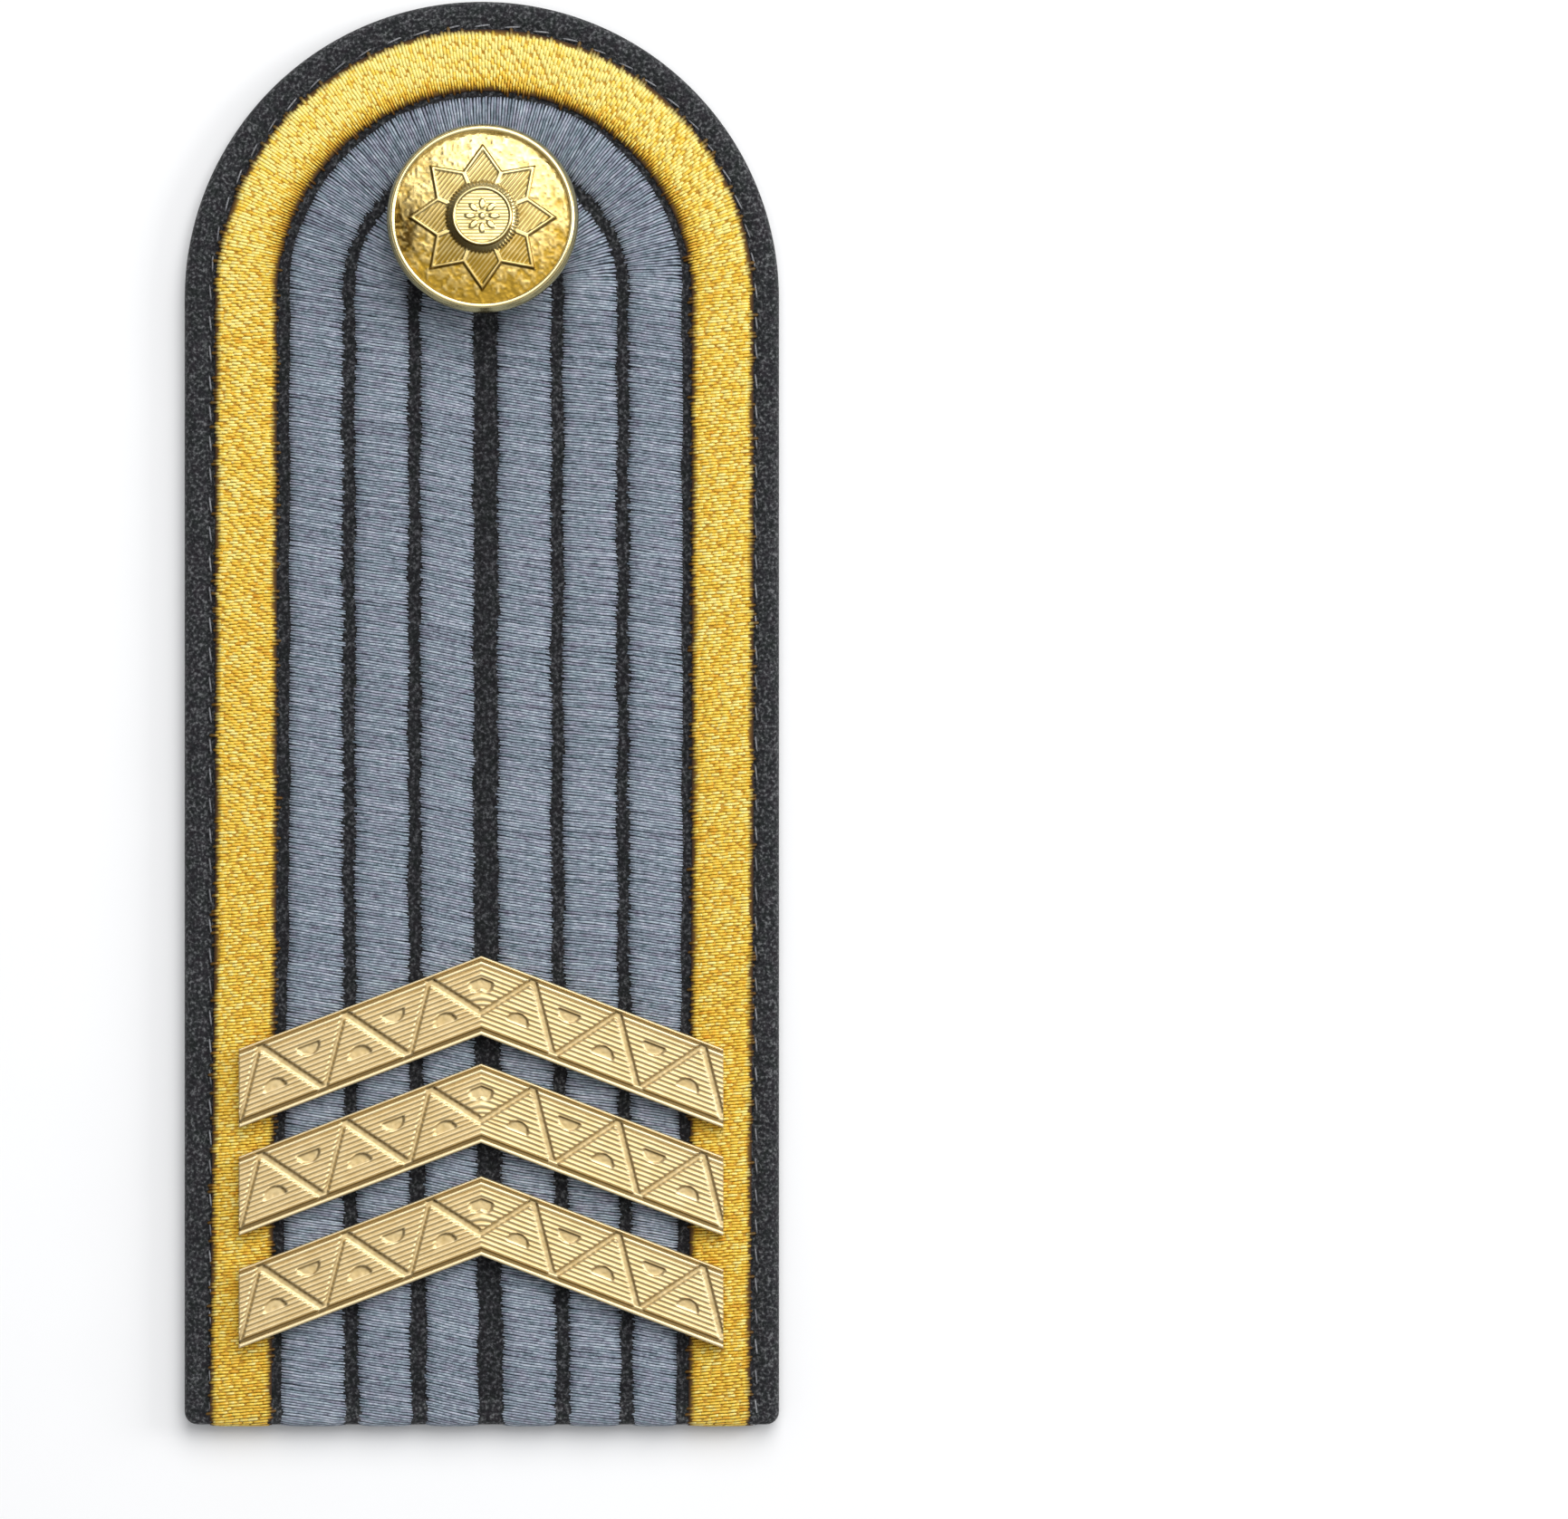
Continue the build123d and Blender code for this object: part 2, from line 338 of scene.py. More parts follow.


# Packed thread and cloth seen in the shade between the stitches, with painted shade where it goes down
# at a side
def padding_material(name, dark, light, side):
    material, node, shader = new_material(name)
    place = node(COORDINATES).outputs["Object"]
    mottle = node(NOISE, {"Vector": place, "Scale": 1 / padding_mottle, "Detail": 3.0})
    base = node(RAMP, [mottle], [(0.35, dark), (0.7, light)])
    edge = stored(node, "edge")
    side_shaded = node(MIX, {0: edge, 6: base, 7: colour(side)}, data_type="RGBA")
    bump = node(BUMP, {"Height": mottle, "Strength": 0.5, "Distance": 0.0001})
    feed(shader, {"Base Color": side_shaded, "Normal": bump, "Roughness": 0.9})
    return material


# Gilded metal: crests are rubbed bright and the sunk places stay matt and browner, in a share that also
# holds painted highlight and shade, and steep walls that face away from the light get a painted dark
# edge
def gilt_material(name, crest, hollow, painted_shade, crest_roughness, hollow_roughness, grain_size):
    material, node, shader = new_material(name)
    burnish_and_painted_light, painted_shade_share = stored(node, "burnish_and_painted_light"), stored(node, "painted_shade")
    place = node(COORDINATES).outputs["Object"]
    worn = node(NOISE, {"Vector": place, "Scale": 1 / gilt_wear, "Detail": 3.0})
    uneven = node("MULTIPLY_ADD", [worn, 0.5, burnish_and_painted_light])
    rubbed_and_lit = node(RANGE, {"Value": uneven, "From Min": 0.3, "From Max": 1.1})
    base = node(MIX, {0: rubbed_and_lit, 6: colour(hollow), 7: colour(crest)}, data_type="RGBA")
    edged = node(MIX, {0: painted_shade_share, 6: base, 7: colour(painted_shade)}, data_type="RGBA")
    polish = node(RANGE, {"Value": rubbed_and_lit, "To Min": hollow_roughness, "To Max": crest_roughness})
    grain = node(NOISE, {"Vector": place, "Scale": 1 / grain_size, "Detail": 2.0})
    bump = node(BUMP, {"Height": grain, "Strength": 0.3, "Distance": 0.00003})
    feed(shader, {"Base Color": edged, "Normal": bump})
    feed(shader, {"Roughness": polish, "Metallic": 1.0})
    return material


# White paper under the board, matt and barely mottled, so that only the soft shadow shows on it
def floor_material():
    material, node, shader = new_material("white_paper")
    place = node(COORDINATES).outputs["Object"]
    pulp = node(NOISE, {"Vector": place, "Scale": 60.0, "Detail": 2.0})
    base = node(RAMP, [pulp], [(0.3, "f8f8f8"), (0.7, "f9f9f9")])
    feed(shader, {"Base Color": base, "Roughness": 0.9})
    return material


wool = wool_material()
# Rayon has a silky shine, brightest in the gold, and the seam's polyester is plain and dull
gold_thread = thread_material(
    "gold_rayon_thread",
    stops=[(0.28, "dc9c24"), (0.42, "f2c33c"), (0.54, "fcda58"), (0.68, "fff296")],
    tints=[(0.35, "ef9f28"), (0.5, "ffd250"), (0.65, "ecd654")],
    tint_share=0.15,
    groove_shade=("846414", 0.58),
    end_shade=("4a2a06", 2.26, 2.8, 0.06),
    streak=0.9,
    unevenness=0.18,
    lustre=0.2,
    specular=0.35,
)
blue_thread = thread_material(
    "slate_blue_rayon_thread",
    stops=[(0.28, "4f5a68"), (0.41, "838e9c"), (0.54, "9ba6b4"), (0.68, "c1cbd6")],
    tints=[(0.32, "7e979c"), (0.5, "9199a7"), (0.68, "a194ab")],
    tint_share=0.32,
    groove_shade=("1c2129", 0.66),
    end_shade=("383c48", 2.3, 2.6, 0.55),
    streak=0.7,
    unevenness=0.2,
    lustre=-0.05,
    specular=0.3,
)
seam_thread = thread_material(
    "pale_grey_polyester_thread",
    stops=[(0.3, "48494c"), (0.5, "6c6e72"), (0.7, "95979b")],
    tints=[(0.4, "78787e"), (0.6, "8e8c8c")],
    tint_share=0.3,
    groove_shade=("2a2b2c", 0.4),
    end_shade=("2a2b2c", 0.6, 0.8, 0.5),
    streak=0.5,
    unevenness=0.25,
    lustre=0.0,
    specular=0.35,
)
# The third colour of each padding is painted shade where it goes down at a side
gold_padding = padding_material("packed_gold_thread", "ac7c1c", "e0b244", "3a2208")
blue_padding = padding_material("packed_slate_blue_thread", "343a46", "5c6473", "1e2128")
# The fourth colour of each gilt is painted shade, on walls facing away from the light and in creases
chevron_gilt = gilt_material("satin_gilt_stamped_brass", "f6e2b4", "ceb47c", "463216", 0.48, 0.6, 0.0003)
button_gilt = gilt_material("polished_gilt_brass", "f2dfa2", "94762a", "3a2808", 0.17, 0.34, 0.00012)


# Puts an object with the given mesh, light or camera into the scene
def put(name, data):
    item = bpy.data.objects.new(name, data)
    bpy.context.scene.collection.objects.link(item)
    return item


# Makes a piece from points in millimetres and its faces, with named values for each point
def make_piece(name, points, faces, material, values):
    mesh = bpy.data.meshes.new(name)
    mesh.from_pydata((np.asarray(points, float) * METRES).tolist(), [], faces)
    for label, numbers in values.items():
        layer = mesh.attributes.new(label, "FLOAT", "POINT")
        layer.data.foreach_set("value", np.asarray(numbers, np.float32))
    mesh.materials.append(material)
    mesh.shade_smooth()
    return put(name, mesh)


# Joins a finished piece to the frame
def settle(piece, slot, *replaced):
    if replaced:
        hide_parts(*replaced)
    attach(piece, "root")


# Quads over a grid of points numbered row by row, closed round each row or open
def grid_faces(rows, columns, closed):
    low = np.arange(rows - 1)[:, None] * columns
    near = np.arange(columns if closed else columns - 1)[None, :]
    far = (near + 1) % columns
    quads = np.stack([low + near, low + far, low + columns + far, low + columns + near], axis=-1)
    return quads.reshape(-1, 4).tolist()


# Quads over a tube of points numbered ring by ring, and a face over either end
def tube_faces(rings, count):
    last = (rings - 1) * count
    ends = [list(range(count))[::-1], [last + place for place in range(count)]]
    return grid_faces(rings, count, closed=True) + ends


def smooth_step(value, low, high):
    share = np.clip((value - low) / (high - low), 0, 1)
    return share * share * (3 - 2 * share)


# Up and down between 0 and 1 once for each whole number
def zigzag(value):
    return np.abs(value % 1 - 0.5) * 2


# A slow wander to either side, the same each run
def wander(along, size, wavelength):
    total = np.zeros_like(along)
    for factor in (1.0, 1.9, 3.3):
        phase = chance.uniform(0, 2 * math.pi)
        total += np.sin(along / wavelength * factor * 2 * math.pi + phase) / factor
    return total * size / 2


# The length along a band from one end, over the fold, up a leg and round the arch, to the other end
def band_lengths(turn_radius, lift):
    fold = (fold_radius + clearance) * math.pi / 2
    straight = wrap_drop + fold + arch_centre + lift - fold_line
    return fold, straight, 2 * straight + math.pi * turn_radius


# Lays points given as outward, along and up on a band of the board. The drift says how far outward
# the inner and the outer edge of the right leg, then of the left leg, have strayed at the foot.
def lay_on_board(points, turn_radius, shift, lift, width, drift):
    outward, along, up = np.asarray(points, float).T
    fold, straight, length = band_lengths(turn_radius, lift)
    side = np.where(along > length / 2, -1.0, 1.0)
    run = np.where(along > length / 2, length - along, along)
    from_fold = run - wrap_drop - fold
    thinned = np.clip(1 - from_fold / pressed_length, 0, 1)
    up = up * (1 - (1 - folded_height / thread_height) * thinned)
    outer_share = np.clip(outward / width + 0.5, 0, 1)
    legs = (drift[:2], drift[2:])
    on_right, on_left = [inner + (outer - inner) * outer_share for inner, outer in legs]
    near_foot = np.clip(1 - from_fold / drift_length, 0, 1)
    outward = outward + near_foot * np.where(side > 0, on_right, on_left)
    radius = turn_radius + outward
    angle = np.clip((run - straight) / turn_radius, 0, None)
    bend = np.clip((run - wrap_drop) / fold, 0, 1) * math.pi / 2
    reach = fold_radius + clearance + up
    on_leg = from_fold > 0
    hang = np.clip(wrap_drop - run, 0, None)
    x = shift + side * radius * np.cos(angle)
    y_up = np.where(angle > 0, arch_centre + lift + radius * np.sin(angle), fold_line + from_fold)
    y = np.where(on_leg, y_up, fold_line - reach * np.cos(bend))
    fold_height = board_thickness - fold_radius + reach * np.sin(bend) - hang
    z = np.where(on_leg, thread_seat + up, fold_height)
    return np.stack([x, y, z], axis=-1)


# A tree that lays rows of stitches on a flat strip, for later bending to a band of the board
def stitch_tree():
    tree = bpy.data.node_groups.new("rows_of_stitches", "GeometryNodeTree")
    for label in ("Length", "Straight", "Right slant", "Left slant", *stitch_sizes):
        tree.interface.new_socket(label, in_out="INPUT", socket_type="NodeSocketFloat")
    for label in ("Seed", *stitch_counts):
        tree.interface.new_socket(label, in_out="INPUT", socket_type="NodeSocketInt")
    tree.interface.new_socket("Material", in_out="INPUT", socket_type="NodeSocketMaterial")
    tree.interface.new_socket("Geometry", in_out="OUTPUT", socket_type="NodeSocketGeometry")
    node = partial(add, tree)
    size = node("NodeGroupInput").outputs

    rows = node("DIVIDE", [size["Length"], size["Row pitch"]])
    whole_rows = node("ROUND", [rows])
    count = node("MULTIPLY", [whole_rows, size["Stitches"]])
    points = node("GeometryNodePoints", [count])
    index = node("GeometryNodeInputIndex")
    row_number = node("DIVIDE", [index, size["Stitches"]])
    row = node("FLOOR", [row_number])
    lane = node("MODULO", [index, size["Stitches"]])
    odd_row = node("MODULO", [row, 2.0])
    step = node(RANDOM, {2: -0.5, 3: 0.0, 7: row, 8: size["Seed"]})
    brick = node("MULTIPLY_ADD", [odd_row, 0.5, step])
    stagger = node("MULTIPLY_ADD", [brick, size["Stagger"], lane])
    half_row = node("MULTIPLY_ADD", [size["Stitches"], 0.5, -0.5])
    centred = node("SUBTRACT", [stagger, half_row])
    jitter = node(RANDOM, {2: -1.0, 3: 1.0, 8: size["Seed"]})
    push = node("MULTIPLY", [jitter, size["Raggedness"]])
    nudge = node("MULTIPLY", [push, 0.4])
    wanted = node("MULTIPLY_ADD", [centred, size["Stitch pitch"], nudge])
    reach = node("MULTIPLY", [size["Width"], 0.5])
    last_middle = node("MULTIPLY_ADD", [size["Stitch length"], -0.46, reach])
    ragged_middle = node("ADD", [push, last_middle])
    first_middle = node("MULTIPLY", [ragged_middle, -1.0])
    not_before = node("MAXIMUM", [wanted, first_middle])
    across = node("MINIMUM", [not_before, ragged_middle])
    along = node("MULTIPLY_ADD", [row, size["Row pitch"], 0.1])

    # Stitches slant on the legs and turn to point at the middle of the arch
    easing = "SMOOTHSTEP"
    into_arch = node("ADD", [size["Straight"], turning_length])
    right_ends = [along, size["Straight"], into_arch, 1.0, 0.0]
    right_share = node(RANGE, right_ends, interpolation_type=easing)
    left_start = node("SUBTRACT", [size["Length"], size["Straight"]])
    left_before = node("SUBTRACT", [left_start, turning_length])
    left_ends = [along, left_before, left_start, 0.0, 1.0]
    left_share = node(RANGE, left_ends, interpolation_type=easing)
    right_turn = node("MULTIPLY", [right_share, size["Right slant"]])
    slant = node("MULTIPLY_ADD", [left_share, size["Left slant"], right_turn])
    tangent = node("TANGENT", [slant])
    sheared = node("MULTIPLY_ADD", [across, tangent, along])
    wobble = node(RANDOM, {2: -stitch_wobble, 3: stitch_wobble, 7: index, 8: 5})
    turned = node("ADD", [slant, wobble])

    placed = node(JOIN, [across, sheared, 0.0])
    spread = node(MOVE, {"Geometry": points, "Position": placed})
    inner_reach = node("MULTIPLY_ADD", [size["Stitch pitch"], 0.62, last_middle])
    distance = node("ABSOLUTE", [wanted])
    too_far = node("GREATER_THAN", [distance, inner_reach])
    several = node("GREATER_THAN", [size["Stitches"], 1.5])
    outside = node("MULTIPLY", [too_far, several])
    kept = node("GeometryNodeDeleteGeometry", [spread, outside], domain="POINT")

    # The points of a stitch lie nearer its ends where the end share is low, so that it keeps its girth
    ends = {"Start": (-1.0, 0.0, 0.0), "End": (1.0, 0.0, 0.0)}
    line = node("GeometryNodeCurvePrimitiveLine", ends)
    even = node("GeometryNodeResampleCurve", {"Curve": line, "Count": size["Points"]})
    place = node(PARTS, [node(PLACE)]).outputs["X"]
    side = node("SIGN", [place])
    share_out = node("ABSOLUTE", [place])
    crowded = node("POWER", [share_out, size["End share"]])
    half_length = node("MULTIPLY", [size["Stitch length"], 0.5])
    reach_out = node("MULTIPLY", [crowded, half_length])
    signed = node("MULTIPLY", [reach_out, side])
    on_line = node(JOIN, [signed])
    stitch = node(MOVE, {"Geometry": even, "Position": on_line})
    rotation = node(JOIN, [0.0, 0.0, turned])
    ragged = node(RANDOM, {2: 0.0, 3: 1.0, 8: 11})
    most = node("MULTIPLY", [size["Raggedness"], 0.5])
    shorter = node("MULTIPLY", [ragged, most])
    stretch = node("SUBTRACT", [1.04, shorter])
    scale = node(JOIN, [stretch, 1.0, 1.0])
    laid = {"Points": kept, "Instance": stitch, "Rotation": rotation, "Scale": scale}
    instances = node("GeometryNodeInstanceOnPoints", laid)
    shade = node(RANDOM, {2: 0.0, 3: 1.0, 8: 23})
    shades = {"Geometry": instances, "Name": "shade", "Value": shade}
    shaded = node(STORE, shades, domain="INSTANCE")
    realized = node("GeometryNodeRealizeInstances", [shaded])

    # Each stitch follows the crown of its band, wavers a little and dips into the cloth at its ends
    x, y = node(PARTS, [node(PLACE)]).outputs[:2]
    own = node("GeometryNodeInputNamedAttribute", {"Name": "shade"})
    share = node("DIVIDE", [x, reach])
    flat_topped = node("POWER", [share, crown_power])
    drop = node("SUBTRACT", [size["Edge"], size["Crown"]])
    surface = node("MULTIPLY_ADD", [flat_topped, drop, size["Crown"]])
    low = node("MAXIMUM", [surface, size["Edge"]])
    sunk = node("MULTIPLY_ADD", [size["Thread thickness"], -0.5, low])
    factor = node("GeometryNodeSplineParameter").outputs["Factor"]
    from_middle = node("MULTIPLY_ADD", [factor, 2.0, -1.0])
    end = node("ABSOLUTE", [from_middle])
    end_power = node("POWER", [end, dip_power])
    dip = node("MULTIPLY", [end_power, size["End dip"]])
    dipped = node("SUBTRACT", [sunk, dip])
    near_others = node("MULTIPLY_ADD", [own, 0.4, y])
    wave_place = node(JOIN, [x, near_others, 0.0])
    wave = node(NOISE, {"Vector": wave_place, "Scale": 0.8, "Detail": 1.0})
    wave_middle = node("SUBTRACT", [wave, 0.5])
    aside = node("MULTIPLY_ADD", [wave_middle, size["Waviness"], y])
    on_its_own = node("MULTIPLY_ADD", [own, 91.0, y])
    lie_place = node(JOIN, [x, on_its_own, 0.0])
    lie = node(NOISE, {"Vector": lie_place, "Scale": 0.9, "Detail": 1.0})
    under = node("SUBTRACT", [lie, 0.8])
    uneven = node("MULTIPLY_ADD", [under, size["Sinking"], dipped])
    bent = node(JOIN, [x, aside, uneven])
    strand_row = node("MULTIPLY", [own, 173.0])
    strand = node(JOIN, [x, strand_row, y])
    strands = {"Geometry": realized, "Name": "strand", "Value": strand}
    named = node(STORE, strands, data_type="FLOAT_VECTOR")
    curved = node(MOVE, {"Geometry": named, "Position": bent})
    minus_taper = node("MULTIPLY", [size["Taper"], -1.0])
    thin = node("MULTIPLY_ADD", [end_power, minus_taper, 1.0])
    width_half = node("MULTIPLY", [size["Thread width"], 0.5])
    radius = node("MULTIPLY", [thin, width_half])
    upright = node("GeometryNodeSetCurveNormal", {"Curve": curved}, mode="Z_UP")
    circle = node("GeometryNodeCurvePrimitiveCircle", {"Resolution": size["Sides"], "Radius": 1.0})
    # The crest marks the top of each thread's round, for painted highlight there and painted shade at
    # its sides
    round_place = node(PARTS, [node(PLACE)])
    crest = node("ABSOLUTE", [round_place.outputs["Y"]])
    crests = {"Geometry": circle, "Name": "crest", "Value": crest}
    marked = node(STORE, crests)
    flatness = node("DIVIDE", [size["Thread thickness"], size["Thread width"]])
    squash = node(JOIN, [1.0, flatness, 1.0])
    profile = node("GeometryNodeTransform", {"Geometry": marked, "Scale": squash})
    swept = {"Curve": upright, "Profile Curve": profile, "Scale": radius, "Fill Caps": True}
    threads = node("GeometryNodeCurveToMesh", swept)
    whole = node("GeometryNodeRealizeInstances", [threads])
    finished = node("GeometryNodeSetMaterial", {"Geometry": whole, "Material": size["Material"]})
    node("NodeGroupOutput", [finished])
    return tree


# What the stitch tree needs for a band of one kind, with slants in degrees on its right and left leg
def stitch_inputs(kind, turn_radius, lift, slants, seed, material):
    straight, length = band_lengths(turn_radius, lift)[1:]
    inputs = {label: numbers[kind] for label, numbers in (stitch_sizes | stitch_counts).items()}
    inputs |= {"Length": length, "Straight": straight, "Seed": seed, "Material": material}
    inputs |= {"Right slant": math.radians(slants[0]), "Left slant": math.radians(slants[1])}
    return inputs


# Runs the stitch tree with the given inputs, lays the result on its band and keeps a plain mesh
def embroider(name, tree, inputs, turn_radius, shift, lift, straying=0.0, drift=(0, 0, 0, 0)):
    piece = put(name, bpy.data.meshes.new(name))
    modifier = piece.modifiers.new("stitches", "NODES")
    modifier.node_group = tree
    for item in tree.interface.items_tree:
        if item.name in inputs:
            modifier[item.identifier] = inputs[item.name]
    graph = bpy.context.evaluated_depsgraph_get()
    mesh = bpy.data.meshes.new_from_object(
        piece.evaluated_get(graph), preserve_all_data_layers=True, depsgraph=graph
    )
    piece.modifiers.remove(modifier)
    piece.data = mesh
    flat = np.empty(len(mesh.vertices) * 3)
    mesh.vertices.foreach_get("co", flat)
    flat = flat.reshape(-1, 3)
    flat[:, 0] += wander(flat[:, 1], straying, swerve_length)
    laid = lay_on_board(flat, turn_radius, shift, lift, inputs["Width"], drift)
    # Painted sheen: the thread's colour is made lighter towards the top and most in the arch, where it
    # lies along the board, and painted shade darkens the arch's inner side, which rolls away from the
    # light
    up_leg = np.clip((laid[:, 1] - board_end) / (arch_centre - board_end), 0, 1)
    in_arch = np.clip((laid[:, 1] - arch_centre - lift) / turn_radius, 0, 1)
    inward = smooth_step(-flat[:, 0] / inputs["Width"], 0.12, 0.5)
    rolled_away = inward * np.clip(in_arch * 2.5 + 0.15, 0, 1)
    turned = leg_shine * up_leg + arch_shine * in_arch - inner_shade * rolled_away
    layer = mesh.attributes.new("turned", "FLOAT", "POINT")
    layer.data.foreach_set("value", turned.astype(np.float32))
    mesh.vertices.foreach_set("co", (laid * METRES).ravel())
    mesh.shade_smooth()
    mesh.update()
    return piece


# The padding under a band's stitches: a low arched strip, narrower than the band
def pad_band(name, width, inset, turn_radius, shift, lift, drift, material):
    length = band_lengths(turn_radius, lift)[2]
    along = np.linspace(0, length, int(length / pad_step))
    across = np.sin(np.linspace(-math.pi / 2, math.pi / 2, 15)) * (width / 2 - inset)
    arched = 1 - (2 * across / width) ** crown_power
    crown = thread_edge + (thread_height - thread_edge) * arched - padding_depth
    crown = np.maximum(crown, 0.03)
    loop = np.array([*zip(across, crown), (across[-1], 0.0), (across[0], 0.0)])
    grid = np.zeros((len(along), len(loop), 3))
    grid[:, :, 0] = loop[:, 0]
    grid[:, :, 1] = along[:, None]
    grid[:, :, 2] = loop[:, 1]
    points = lay_on_board(grid.reshape(-1, 3), turn_radius, shift, lift, width, drift)
    # Painted shade where the padding goes down at its sides
    edge = smooth_step(np.abs(grid[:, :, 0]), width / 2 - 0.5, width / 2 - 0.2)
    faces = tube_faces(len(along), len(loop))
    return make_piece(name, points, faces, material, {"edge": edge.ravel()})


# The board's outline at a distance inside its edge, counterclockwise from the lower right
def board_outline(inset):
    half = board_width / 2 - inset
    corner = max(corner_radius - inset, 0.15)
    low = board_end + inset
    sides = np.linspace(0, 1, leg_points)[:-1]
    arch = np.linspace(0, math.pi, arch_points)[:-1]
    turns = np.linspace(0, math.pi / 2, corner_points)[:-1]
    foot = np.linspace(-1, 1, foot_points)[:-1]
    leg = low + corner + sides * (arch_centre - low - corner)
    down, across = low + corner, half - corner
    points = [(half, y) for y in leg]
    points += [(half * math.cos(turn), arch_centre + half * math.sin(turn)) for turn in arch]
    points += [(-half, y) for y in (arch_centre + low + corner - leg)]
    points += [(-across - corner * math.cos(turn), down - corner * math.sin(turn)) for turn in turns]
    points += [(x * across, low) for x in foot]
    points += [(across + corner * math.sin(turn), down - corner * math.cos(turn)) for turn in turns]
    return np.array(points)


# The cloth over the core: folded edges, a seam's hollow and a slightly uneven top
def cloth_cover():
    turns = [math.radians(90 / fold_steps * step) for step in range(fold_steps + 1)]
    fold = [(fold_radius * (1 - math.cos(turn)), fold_radius * (1 - math.sin(turn))) for turn in turns]
    profile = fold[::-1] + [(inset, board_thickness - height) for inset, height in fold]
    inset = fold_radius
    while inset < board_width / 2 - 0.6:
        inset += 0.2 if inset < 3.4 else 0.7
        hollow = hollow_depth * math.exp(-(((inset - seam_inset - hollow_shift) / hollow_width) ** 2))
        swell = swell_height * math.sin(min(inset / seam_inset, 1) * math.pi)
        profile.append((inset, board_thickness - hollow + swell))
    rings = []
    for inset, height in profile:
        outline = board_outline(inset)
        rings.append(np.column_stack([outline, np.full(len(outline), height)]))
    grid = np.array(rings)
    top = grid[:, :, 2] > board_thickness / 2
    swing = wander(grid[:, :, 0] + grid[:, :, 1] * 0.7, cloth_unevenness, 9.0)
    swing += wander(grid[:, :, 0] * 0.8 - grid[:, :, 1], cloth_unevenness, 5.0)
    grid[:, :, 2] += np.where(top, swing, 0)
    faces = tube_faces(*grid.shape[:2])
    insets = np.array([inset for inset, height in profile])[:, None]
    # Painted shade for the cloth inside the border, where the bands stand round it
    painted_gap_shade = np.where(top, smooth_step(insets, border_margin - 0.3, border_margin + 0.1), 0)
    return make_piece("cloth_cover", grid.reshape(-1, 3), faces, wool, {"painted_gap_shade": painted_gap_shade.ravel()})


# Distance from each point to the edge of a channel that runs from corner to corner, where the
# shallow and the steep runs have their own widths
def distance_to_channel(x, y, corners, shallow, steep):
    nearest = np.full(np.shape(x), 1e9)
    for place, ((ax, ay), (bx, by)) in enumerate(zip(corners, corners[1:])):
        length = (bx - ax) ** 2 + (by - ay) ** 2
        share = np.clip(((x - ax) * (bx - ax) + (y - ay) * (by - ay)) / length, 0, 1)
        distance = np.hypot(x - ax - share * (bx - ax), y - ay - share * (by - ay))
        nearest = np.minimum(nearest, distance - (steep if place % 2 else shallow) / 2)
    return nearest


# The turns of the zigzag channel on one arm, as distances along it, each an upper or a lower turn
def channel_turns():
    turns = []
    along = first_peak
    upper = True
    while along * cos_slope < half_span + arm_width:
        turns.append((along, upper))
        along += zigzag_pitch / 2
        upper = not upper
    return turns


# Rows across an arm: distance below the outer edge, height, whether the channel or the discs cut it,
# and how much painted shade it gets, in the grooves along the rims and as a dark line along the lower
# edge
def chevron_rows():
    rows = [(0.0, 0.2, 0, 0), (0.04, 0.3, 0, 0), (0.1, rim_height, 0, 0), (0.16, 0.31, 0, 0)]
    rows += [(outer_rim, 0.2, 0, 0.1), (0.25, 0.02, 0, 0.45), (0.38, 0.0, 0, 0.3)]
    wide = [(0.0, 0.12), (0.05, 0.27), (0.13, rim_height), (0.27, rim_height)]
    wide += [(0.36, 0.26), (0.42, 0.08)]
    rows += [(channel_top + inset, height, 1, 0) for inset, height in wide]
    start = channel_top + bright_ridge + 0.04
    ridges = 12
    pitch = (field_bottom - start) / ridges
    for place in range(ridges):
        top = start + place * pitch
        section = [(0.06, 0.06), (0.24, 0.155), (0.42, field_height), (0.66, 0.2), (0.86, 0.12)]
        rows += [(top + share * pitch, height, 2, 0) for share, height in section]
    rows += [(field_bottom, 0.0, 0, 0.75), (arm_width - inner_rim - 0.03, 0.0, 0, 0.7)]
    inner = [(0.0, 0.18, 0), (0.06, 0.3, 0), (0.15, rim_height, 0), (0.28, rim_height, 0)]
    inner.append((0.36, 0.28, 0.3))
    rows += [(arm_width - inner_rim + inset, height, 0, painted_shade) for inset, height, painted_shade in inner]
    rows.append((arm_width, 0.14, 0, 1.0))
    return np.array(rows)


